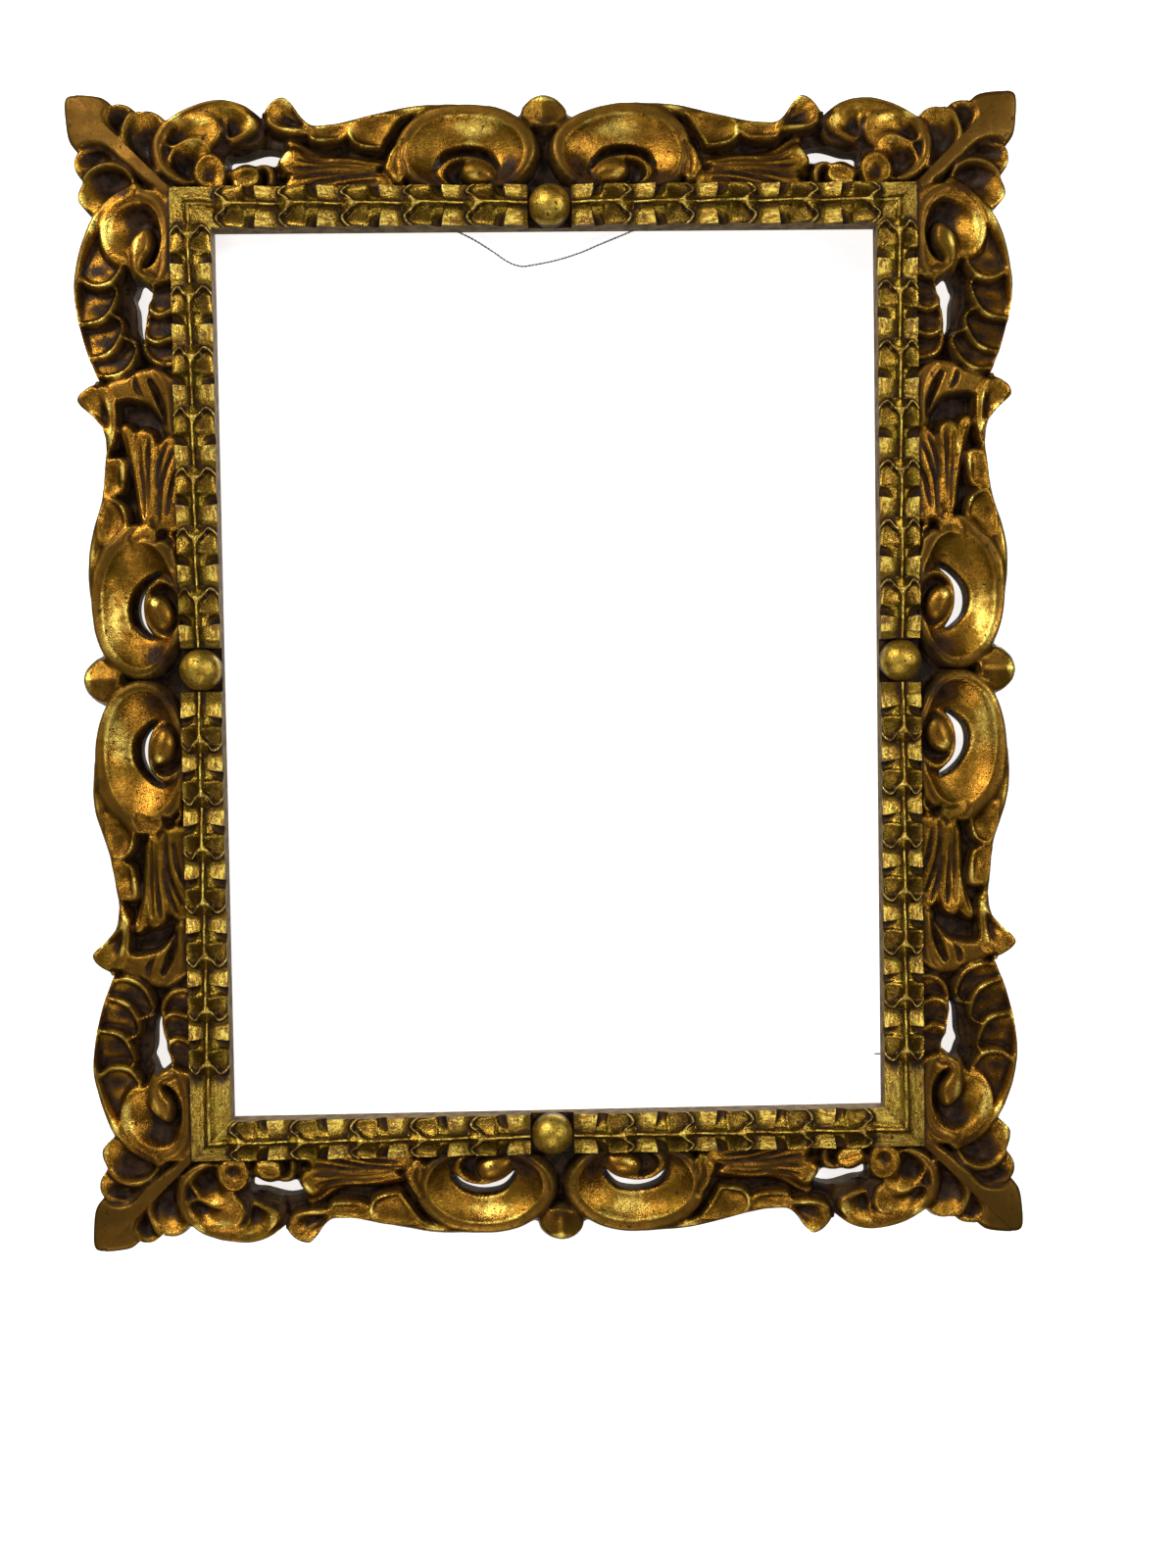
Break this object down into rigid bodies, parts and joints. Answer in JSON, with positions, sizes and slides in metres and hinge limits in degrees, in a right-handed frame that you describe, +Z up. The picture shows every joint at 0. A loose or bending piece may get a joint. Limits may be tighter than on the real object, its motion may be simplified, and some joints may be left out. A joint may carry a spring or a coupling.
{
  "type": "carved picture frame",
  "caption": "Carved and gilded wooden picture frame with pierced scrollwork rails, a husk sight moulding with centre beads, and a hanging wire that swings in screw eyes.",
  "frame": {"origin": "middle of the frame's box, measured without the hanging wire: the centre of the sight opening, half way from the beads' crowns to the backs of the screw eyes", "axes": "+Z up as the frame hangs, +X to the right as seen from the front, +Y towards the wall"},
  "size_m": [0.6346, 0.0504, 0.7732],
  "materials": {
    "gilt_wood": "antique gilding over bole, dark glaze in the hollows",
    "rubbed_gilt": "rubbed gilding, brighter on the ridges",
    "bare_wood": "unfinished aged wood",
    "steel": "dull, slightly rusted",
    "wire_steel": "twisted strands, dull"
  },
  "bodies": {
    "frame": {"top_rail": "gilt_wood", "bottom_rail": "gilt_wood", "left_rail": "gilt_wood", "right_rail": "gilt_wood", "top_moulding": "rubbed_gilt", "bottom_moulding": "rubbed_gilt", "left_moulding": "rubbed_gilt", "right_moulding": "rubbed_gilt", "top_bead": "rubbed_gilt", "bottom_bead": "rubbed_gilt", "left_bead": "rubbed_gilt", "right_bead": "rubbed_gilt", "corner_key_top_left": "bare_wood", "corner_key_top_right": "bare_wood", "corner_key_bottom_left": "bare_wood", "corner_key_bottom_right": "bare_wood", "retaining_brads": "steel", "screw_eye_left": "steel", "screw_eye_right": "steel"},
    "wire_loop": {"hanging_wire": "wire_steel"}
  },
  "joints": [
    {"name": "wire_swing", "type": "hinge", "parent": "frame", "child": "wire_loop", "pos_m": [0, 0.019, 0.345], "axis": [1, 0, 0], "range_deg": [-8, 180]}
  ]
}
